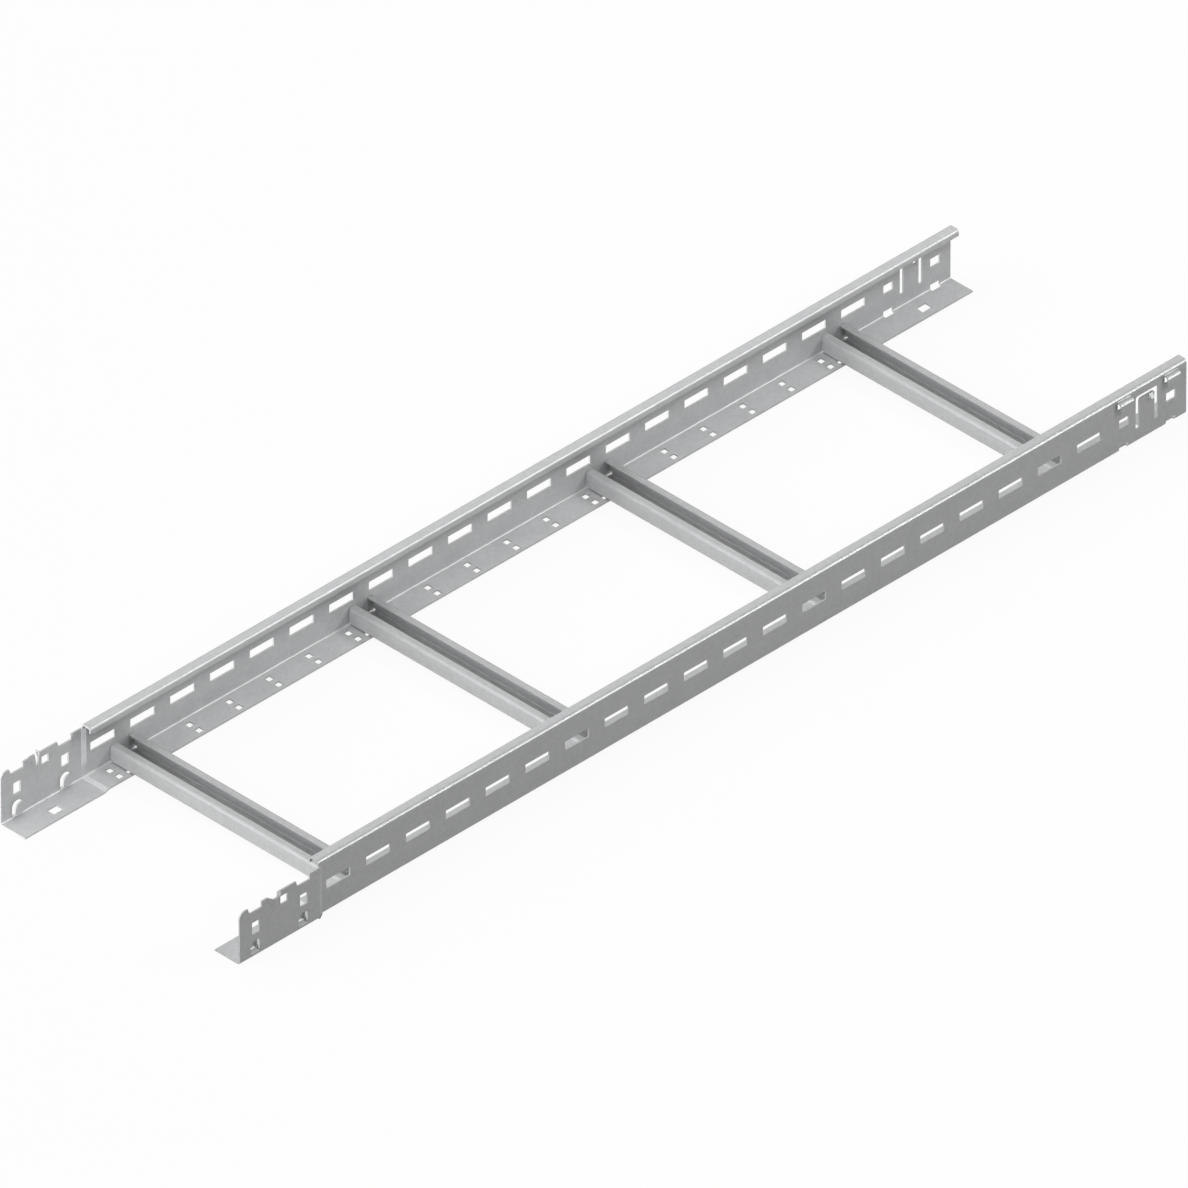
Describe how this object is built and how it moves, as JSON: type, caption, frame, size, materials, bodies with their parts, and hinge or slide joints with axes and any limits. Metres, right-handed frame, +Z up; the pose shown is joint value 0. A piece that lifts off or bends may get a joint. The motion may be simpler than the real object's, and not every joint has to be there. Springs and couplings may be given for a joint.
{
  "type": "cable ladder section",
  "caption": "Straight section of galvanised steel cable ladder: perforated folded side rails with plug-in ends, joined by open-topped C-shaped rungs.",
  "frame": {"origin": "centre of the ladder's footprint, on the underside of the plug ends", "axes": "+X along the ladder from the plug end to the socket end, +Y across it to the left side rail, +Z up, out of the open side of the rungs"},
  "size_m": [1.2, 0.3102, 0.0619],
  "materials": {
    "rail_steel": "galvanised, satin",
    "rung_steel": "galvanised, satin"
  },
  "bodies": {
    "root": {"side_rail_left": "rail_steel", "side_rail_right": "rail_steel", "rung_1": "rung_steel", "rung_2": "rung_steel", "rung_3": "rung_steel", "rung_4": "rung_steel"}
  },
  "joints": []
}
